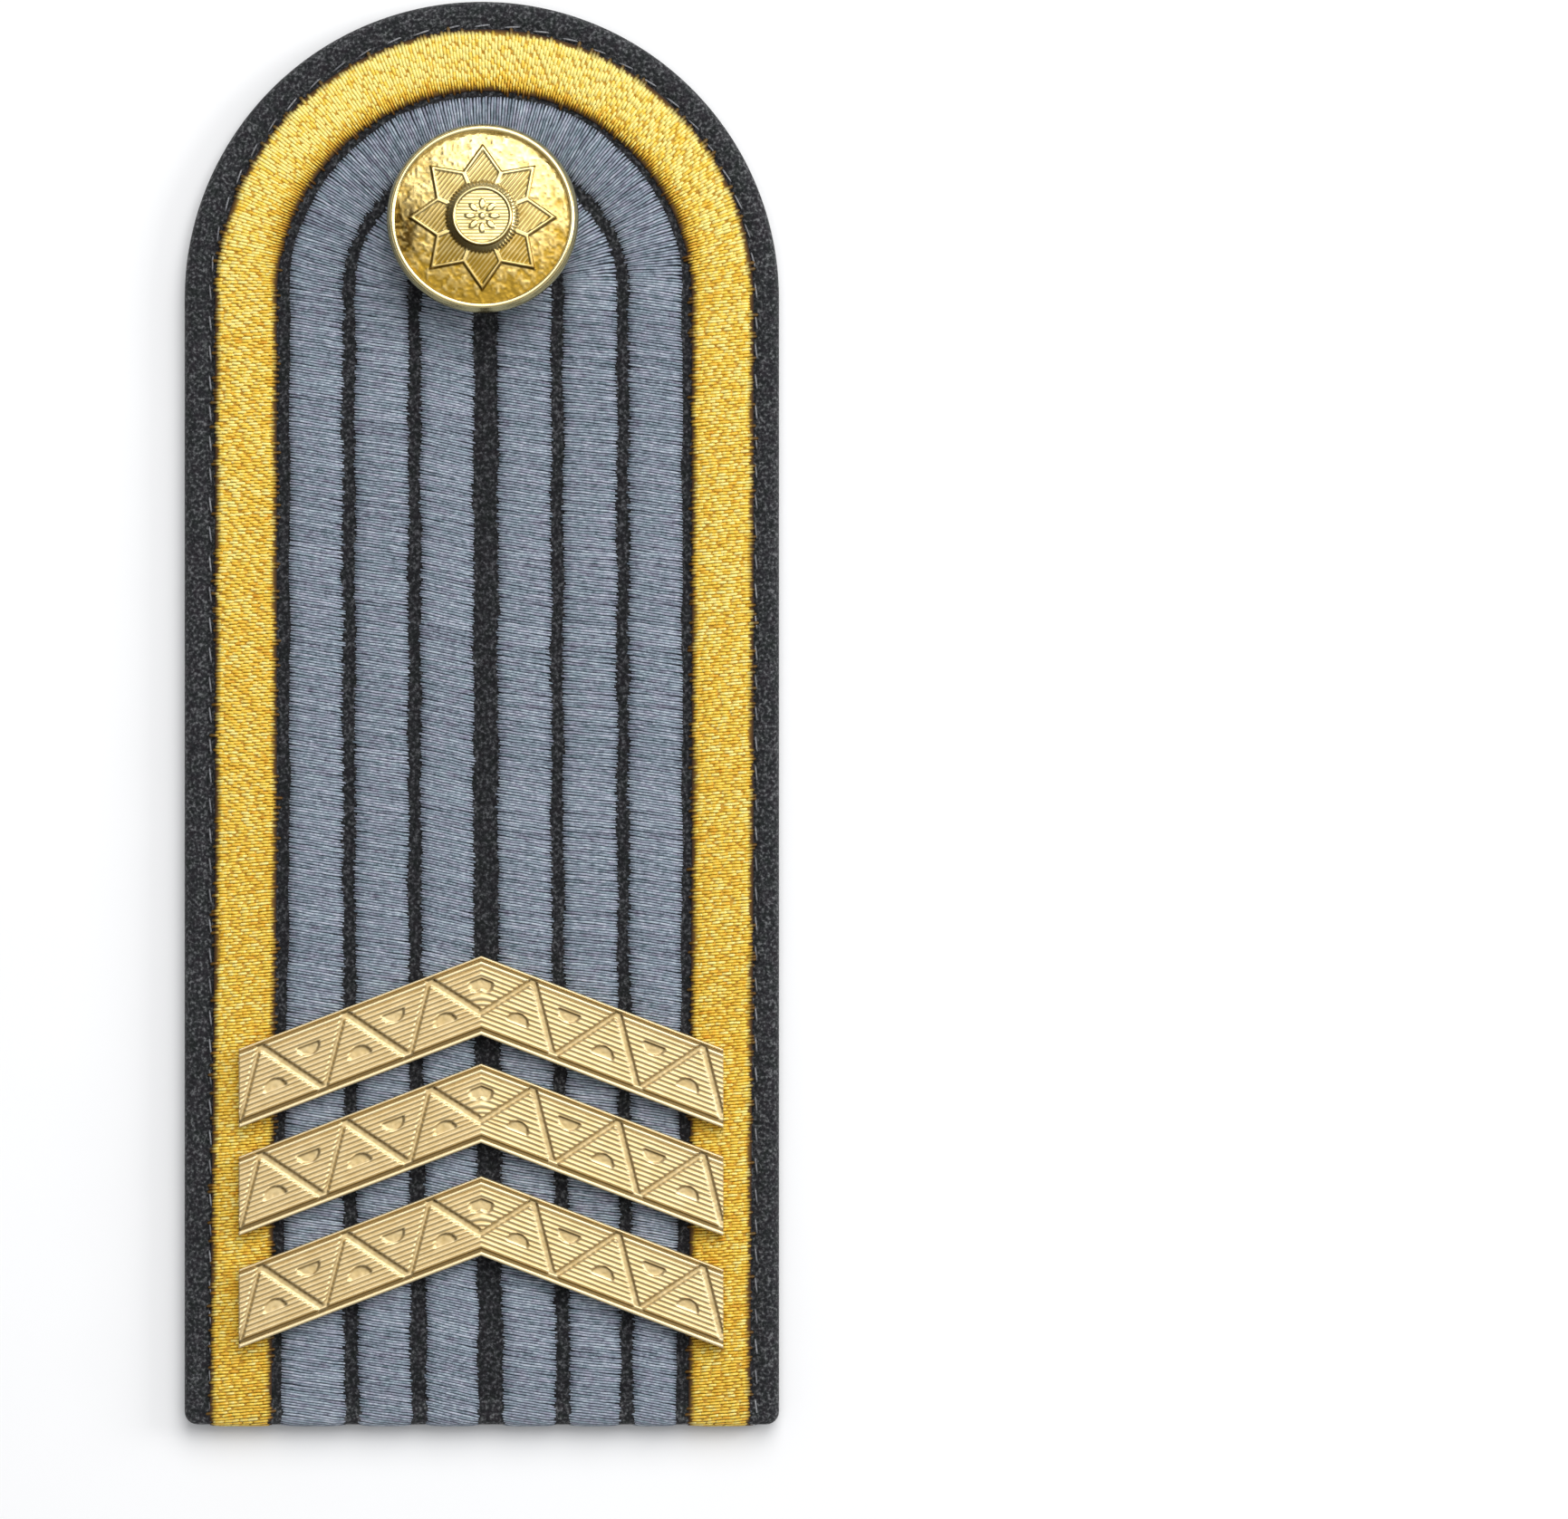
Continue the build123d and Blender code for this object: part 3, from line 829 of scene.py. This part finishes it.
# A chevron as stamped: rims, a bright ridge and hatched fields cut by a zigzag channel
def chevron_grid():
    rows = chevron_rows()
    columns = np.linspace(-half_span, half_span, chevron_columns)
    below, x = np.meshgrid(rows[:, 0], columns, indexing="ij")
    side = np.abs(x)
    # Under the lens the hatching bends round instead of coming to a point
    kink = (np.sqrt(side**2 + 1.0) - side) * tan_slope
    bend = kink * smooth_step(below, 2.9, 3.6) * (1 - smooth_step(below, 4.0, 4.9))
    y = -side * tan_slope - below / cos_slope - bend
    turns = channel_turns()
    corners = [(0.0, -(arm_width - centre_rise) / cos_slope)]
    for along, upper in turns:
        depth = channel_top if upper else channel_bottom
        across = along * cos_slope - depth * sin_slope
        corners.append((across, -along * sin_slope - depth * cos_slope))
    shallow, steep = [np.where(x < 0, *widths) for widths in (shallow_widths, steep_widths)]
    cut = smooth_step(distance_to_channel(side, y, corners, shallow, steep), -0.04, 0.05)
    true_below = (-y - side * tan_slope) * cos_slope
    true_along = (side + true_below * sin_slope) / cos_slope
    solid = np.ones_like(x)
    radius = disc_chord / 2
    for along, upper in turns:
        flat = field_bottom - disc_inset if upper else channel_top + disc_inset
        over = flat - true_below if upper else true_below - flat
        round_edge = np.sqrt(((true_along - along) / radius) ** 2 + (over / disc_height) ** 2)
        inside = smooth_step(round_edge, 1.06, 0.96) * smooth_step(over, -0.06, 0.05)
        solid = np.minimum(solid, 1 - inside)
    over = true_below - (channel_top + disc_inset)
    lens_reach = radius * cos_slope + 0.1
    lens = np.sqrt((side / lens_reach) ** 2 + (over / (disc_height + side * 0.35)) ** 2)
    inside = smooth_step(lens, 1.06, 0.94) * smooth_step(over, -0.06, 0.05)
    solid = np.minimum(solid, 1 - inside)
    kind = rows[:, 2][:, None]
    left_standing = np.where(kind == 1, cut, np.where(kind == 2, np.minimum(cut, solid), 1.0))
    raised = rows[:, 1][:, None] * left_standing
    sand = floor_grain * value_noise(x, y, 0.22) * (1 - left_standing)
    height = raised - floor_depth * (1 - left_standing) + sand
    # Painted light: walls that climb towards the light get painted shade, and walls that face it are
    # made lighter as painted highlight
    down = np.gradient(left_standing, rows[:, 0], axis=0)
    right = np.gradient(left_standing, columns, axis=1)
    climb_right = right - np.sign(x) * sin_slope * down
    climb = LIGHT_FROM[0] * climb_right - LIGHT_FROM[1] * cos_slope * down
    toothed = 0.45 + 0.55 * rows[:, 1][:, None] / rim_height
    painted_shade = np.maximum(np.clip(climb / wall_climb, 0, 1) * toothed, rows[:, 3][:, None])
    burnish_and_painted_light = raised / rim_height + floor_gloss * (1 - left_standing) + 6 * sand
    burnish_and_painted_light += 0.5 * np.clip(-climb / wall_climb, 0, 1)
    return x, y, height, {"burnish_and_painted_light": burnish_and_painted_light, "painted_shade": painted_shade}


def stamped_chevron(name, x, y, height, finish):
    rows, columns = x.shape
    level = badge_seat + plate_thickness
    top = np.stack([x, y + chevron_apexes[name], level + height], axis=-1)
    foot = top.copy()
    foot[:, :, 2] = badge_seat
    points = np.concatenate([top.reshape(-1, 3), foot[0], foot[-1]])
    faces = [face[::-1] for face in grid_faces(rows, columns, closed=False)]
    upper_foot = rows * columns
    lower_foot = upper_foot + columns
    last = (rows - 1) * columns
    for place in range(columns - 1):
        for near, far in ((upper_foot, 0), (last, lower_foot), (lower_foot, upper_foot)):
            faces.append([near + place, far + place, far + place + 1, near + place + 1])
    left = [row * columns for row in range(rows)]
    right = [row * columns + columns - 1 for row in range(rows)]
    faces.append([*left[::-1], upper_foot, lower_foot])
    faces.append([*right, lower_foot + columns - 1, upper_foot + columns - 1])
    feet = np.zeros(2 * columns)
    values = {label: np.append(numbers.ravel(), feet) for label, numbers in finish.items()}
    return make_piece(name + "_stamping", points, faces, chevron_gilt, values)


# Smooth random values between -1 and 1, one for each knot of a lattice and blended between them
def value_noise(x, y, size):
    knots = chance.uniform(-1, 1, (64, 64))
    column, row = x / size + 32, y / size + 32
    left, low = np.floor(column).astype(int) % 63, np.floor(row).astype(int) % 63
    right_share = smooth_step(column % 1, 0, 1)
    up_share = smooth_step(row % 1, 0, 1)
    lower = knots[low, left] * (1 - right_share) + knots[low, left + 1] * right_share
    upper = knots[low + 1, left] * (1 - right_share) + knots[low + 1, left + 1] * right_share
    return lower * (1 - up_share) + upper * up_share


# The face of the button round its axis: an eight-pointed star, a milled collar and a medallion
def button_grid():
    radii = set(np.round(np.arange(ring_step, rim_inside, ring_step), 3))
    for edge in (medallion_radius - medallion_rim, medallion_radius, collar_radius):
        radii |= {round(edge - 0.03, 3), round(edge + 0.03, 3)}
    radii = np.array([*sorted(radii), rim_inside])
    angles = np.linspace(0, 2 * math.pi, button_segments + 1)[:-1]
    radius, angle = np.meshgrid(radii, angles, indexing="ij")
    across = radius * np.cos(angle)
    up = radius * np.sin(angle)
    sector = 2 * math.pi / star_points
    turned = (angle - math.pi / 2 + sector / 2) % sector - sector / 2
    out = radius * np.cos(turned)
    aside = np.abs(radius * np.sin(turned))
    notch_out = star_notch_radius * math.cos(sector / 2)
    notch_aside = star_notch_radius * math.sin(sector / 2)
    tip_reach = star_tip_radius - notch_out
    edge_length = math.hypot(tip_reach, notch_aside)
    inside_edge = (notch_aside * (star_tip_radius - out) - tip_reach * aside) / edge_length
    inside_sector = out * math.sin(sector / 2) - aside * math.cos(sector / 2)
    on_star = smooth_step(inside_edge, -0.03, 0.06)
    frame_edge = np.minimum(inside_edge - 0.1, inside_sector)
    on_panel = smooth_step(frame_edge, star_frame / 2 - 0.04, star_frame / 2 + 0.05)
    ribs = zigzag((across * rib_slant[0] + up * rib_slant[1]) / rib_pitch)
    pebbles = sum(depth * value_noise(across, up, size) for size, depth in pebble_sizes.items())
    dome = dome_rise - dome_fall * (radius / rim_inside) ** 2
    level = pebbles * (1 - on_star) + star_height * on_star
    level += on_panel * (rib_height * ribs - panel_depth)
    notches = tooth_depth * (1 - zigzag(angle * (collar_teeth / 2) / math.pi))
    milled = collar_radius - notches
    on_collar = smooth_step(milled - radius, -0.03, 0.08)
    collar_slope = collar_fall * (radius - medallion_radius) / (collar_radius - medallion_radius)
    collar_top = collar_height - collar_slope - notches * smooth_step(radius, 2.85, 3.3)
    level = level * (1 - on_collar) + collar_top * on_collar
    on_medallion = smooth_step(medallion_radius - radius, -0.02, 0.05)
    rim_place = (radius - medallion_radius + medallion_rim / 2) / (medallion_rim / 2)
    rim_round = np.sqrt(np.clip(1 - rim_place**2, 0, 1))
    sunk = medallion_height - medallion_depth
    medal = sunk + line_height * zigzag(up / line_pitch)
    for petal in range(petal_count + 1):
        turn = petal * 2 * math.pi / petal_count
        on_ring = petal < petal_count
        outward = across * math.cos(turn) + up * math.sin(turn) - (petal_circle if on_ring else 0)
        sideways = up * math.cos(turn) - across * math.sin(turn)
        half_long = petal_length if on_ring else petal_radius
        spread = np.hypot(outward / half_long, sideways / petal_radius)
        bloom = sunk + petal_height * smooth_step(1 - spread, 0, 0.5)
        medal = np.where(spread < 1, np.maximum(medal, bloom), medal)
    medal = np.where(np.abs(rim_place) < 1, sunk + medallion_depth * rim_round, medal)
    level = level * (1 - on_medallion) + medal * on_medallion + dome * (1 - on_medallion)
    # Painted shade on slopes that climb towards the light, that is on walls facing away from it
    outward = np.gradient(level, radii, axis=0)
    turn_step = angles[1] - angles[0]
    onward = (np.roll(level, -1, axis=1) - np.roll(level, 1, axis=1)) / (2 * turn_step * radius)
    climb_right = outward * np.cos(angle) - onward * np.sin(angle)
    climb_up = outward * np.sin(angle) + onward * np.cos(angle)
    climb = LIGHT_FROM[0] * climb_right + LIGHT_FROM[1] * climb_up
    painted_shade = 0.85 * np.clip((climb - 0.3) / 1.6, 0, 1)
    # Painted shade on the ground's left side, blotched with noise
    on_left = smooth_step(-across, 5.2, 6.8) * (1 - on_star) * smooth_step(np.abs(up + 1.0), 3.6, 1.6)
    specks = smooth_step(value_noise(across, up, 0.3), -0.2, 0.3)
    painted_shade = np.maximum(painted_shade, on_left * (0.5 + 0.45 * specks))
    # Painted shade on the collar, darkest on its side away from the light
    turned_away = np.clip(-np.cos(angle - math.radians(35)), 0, 1) ** 0.7
    painted_shade = np.maximum(painted_shade, on_collar * (1 - on_medallion) * (0.15 + 0.7 * turned_away))
    # Height sets this share, with painted shade between the panels' ribs and painted light making the
    # ground lighter towards the top
    burnish_and_painted_light = 0.34 + 0.5 * level - on_panel * (1 - on_collar) * (0.34 - 0.34 * ribs)
    burnish_and_painted_light += 5 * pebbles * (1 - on_star) + 0.26 * up / rim_inside - 0.06
    burnish_and_painted_light = np.where(on_medallion > 0.5, 0.42 + 1.6 * (medal - sunk), burnish_and_painted_light)
    return radius, angle, ground_level + level, {"burnish_and_painted_light": burnish_and_painted_light, "painted_shade": painted_shade}


def button_stamping():
    radius, angle, height, finish = button_grid()
    rings = list(zip(radius, height))
    profile = [(rim_inside + 0.02, ground_level + 0.02), (rim_inside + 0.03, rim_top - 0.22)]
    roll = rim_roll / 2
    for step in range(1, roll_steps):
        turn = math.radians(180 - 180 / roll_steps * step)
        place = rim_outside - roll + roll * math.cos(turn)
        profile.append((place, rim_top - roll + roll * math.sin(turn)))
    bulge = face_foot + wall_height
    profile += [
        (rim_outside + 0.01, rim_top - rim_roll / 2),
        (rim_outside + 0.12, rim_top - rim_roll / 2 - 0.16),
        (button_radius - 0.06, bulge + 0.3),
        (button_radius, bulge),
        (button_radius - 0.1, bulge - 0.25),
        (button_radius - face_flare + 0.15, face_foot + 0.04),
        (button_radius - face_flare, face_foot),
        (button_radius - 1.6, face_foot),
    ]
    for place, level in profile:
        rings.append((np.full_like(radius[0], place), np.full_like(radius[0], level)))
    across = np.array([ring[0] * np.cos(angle[0]) for ring in rings])
    up = np.array([ring[0] * np.sin(angle[0]) for ring in rings])
    high = np.array([ring[1] for ring in rings])
    count = len(angle[0])
    seat = badge_seat + back_flat_radius * math.sin(button_lean) + clearance
    y = arch_centre + button_rise + up * math.cos(button_lean) + high * math.sin(button_lean)
    z = seat - up * math.sin(button_lean) + high * math.cos(button_lean)
    points = np.stack([button_shift + across, y, z], axis=-1).reshape(-1, 3)
    faces = [face[::-1] for face in tube_faces(len(rings), count)]
    # Painted shade on the rim's inner wall where it faces the lower left, away from the light, and on
    # the side's lower left
    facing = np.cos(angle[0] - math.atan2(LIGHT_FROM[1], LIGHT_FROM[0]))
    inner_wall = 0.5 * np.clip(facing, 0, 1)
    outer_wall = 0.25 * np.clip(-facing, 0, 1)
    around = [inner_wall] * 3 + [0 * facing] * 6 + [outer_wall] * (len(profile) - 9)
    finish["painted_shade"] = np.append(finish["painted_shade"].ravel(), np.concatenate(around))
    finish["burnish_and_painted_light"] = np.append(finish["burnish_and_painted_light"].ravel(), np.full(len(profile) * count, 0.9))
    return make_piece("button_stamping", points, faces, button_gilt, finish)


# The cloth and its seam, with a whole number of stitches all round
settle(cloth_cover(), "cloth", "board")
stitches = stitch_tree()
seam_radius = board_width / 2 - seam_inset
seam_inputs = stitch_inputs(SEAM, seam_radius, 0, (97, 0), 3, seam_thread)
seam_length = seam_inputs["Length"]
seam_inputs["Straight"] = seam_length
seam_inputs["Row pitch"] = seam_length / round(seam_length / seam_inputs["Row pitch"])
seam = embroider("seam_stitches", stitches, seam_inputs, seam_radius, seam_shift, 0)
settle(seam, "blue_thread")

# The embroidered bands: seed, kind, arch radius, shift, lift, slants and drift at the foot
border_radius = border_outside - border_width / 2
border_drift = (-0.3, -0.3, 0.5, 0.5)
bands = {"gold_border": (7, BORDER, border_radius, border_shift, 0, (5, 5), border_drift)}
columns = {
    "outer_column": ((-8.5, -9.5), (0.43, -0.55, -0.15, 0.85)),
    "middle_column": ((-6.0, -8.5), (0.65, 0.35, -0.26, -0.35)),
    "inner_column": ((-9.0, -12.5), (0.5, 0.45, -0.45, -0.6)),
}
for place, (name, (slants, drift)) in enumerate(columns.items()):
    turn_radius = columns_outside - place * (column_width + column_gap) - column_width / 2
    bands[name] = (11 + place, COLUMN, turn_radius, column_shift, column_lift, slants, drift)
makings = {
    BORDER: ("gold_thread", gold_thread, gold_padding, 0.0),
    COLUMN: ("blue_thread", blue_thread, blue_padding, pad_inset),
}
for name, (seed, kind, turn_radius, shift, lift, slants, drift) in bands.items():
    slot, thread, packing, inset = makings[kind]
    inputs = stitch_inputs(kind, turn_radius, lift, slants, seed, thread)
    stitched = embroider(name + "_stitches", stitches, inputs, turn_radius, shift, lift, swerve, drift)
    settle(stitched, slot, name)
    width = inputs["Width"]
    padding = pad_band(name + "_padding", width, inset, turn_radius, shift, lift, drift, packing)
    settle(padding, slot)

# The metal badges
stamping = chevron_grid()
for name in chevron_apexes:
    settle(stamped_chevron(name, *stamping), "chevron_metal", name)
settle(button_stamping(), "button_metal", "button_face")
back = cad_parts["button_back"]
back.data.materials.clear()
back.data.materials.append(button_gilt)

# White paper to lie on
floor_reach = 2.0
corners = [(x * floor_reach, y * floor_reach, 0) for x, y in ((-1, -1), (1, -1), (1, 1), (-1, 1))]
floor_mesh = bpy.data.meshes.new("floor")
floor_mesh.from_pydata(corners, [], [(0, 1, 2, 3)])
floor_mesh.materials.append(floor_material())
floor = put("floor", floor_mesh)

# Soft light from the top and the upper right: places and sizes in metres, power in watts
for name, place, size, power in (
    ("key", (0.16, 0.52, 0.55), 0.55, 1.8),
    ("softbox", (0.28, 0.8, 1.1), 1.2, 9.0),
    ("ceiling", (0.0, 0.0, 1.35), 1.2, 3.6),
    ("side", (0.9, 0.2, 0.42), 0.4, 3.6),
):
    light = bpy.data.lights.new(name, "AREA")
    light.size = size
    light.energy = power
    lamp = put(name, light)
    lamp.location = place
    lamp.rotation_mode = "QUATERNION"
    direction = -lamp.location.normalized()
    lamp.rotation_quaternion = direction.to_track_quat("-Z", "Y")
    lamp.visible_camera = False

world = bpy.data.worlds.new("studio")
world.use_nodes = True
background = world.node_tree.nodes["Background"]
feed(background, {"Color": colour("f2f4f8"), "Strength": 0.36})
bpy.context.scene.world = world
bpy.context.scene.view_settings.view_transform = "Standard"

# The camera looks straight down at the middle of the photo's frame
view_width = 144.9
view_centre = (27.96, -4.12)
camera_height = 950.0
focus_level = 3.0
camera_data = bpy.data.cameras.new("camera")
camera_data.sensor_width = 36.0
camera_data.lens = camera_data.sensor_width * camera_height / view_width
camera_data.clip_start = 0.05
camera = put("camera", camera_data)
camera.location = [size * METRES for size in (*view_centre, camera_height + focus_level)]
bpy.context.scene.camera = camera
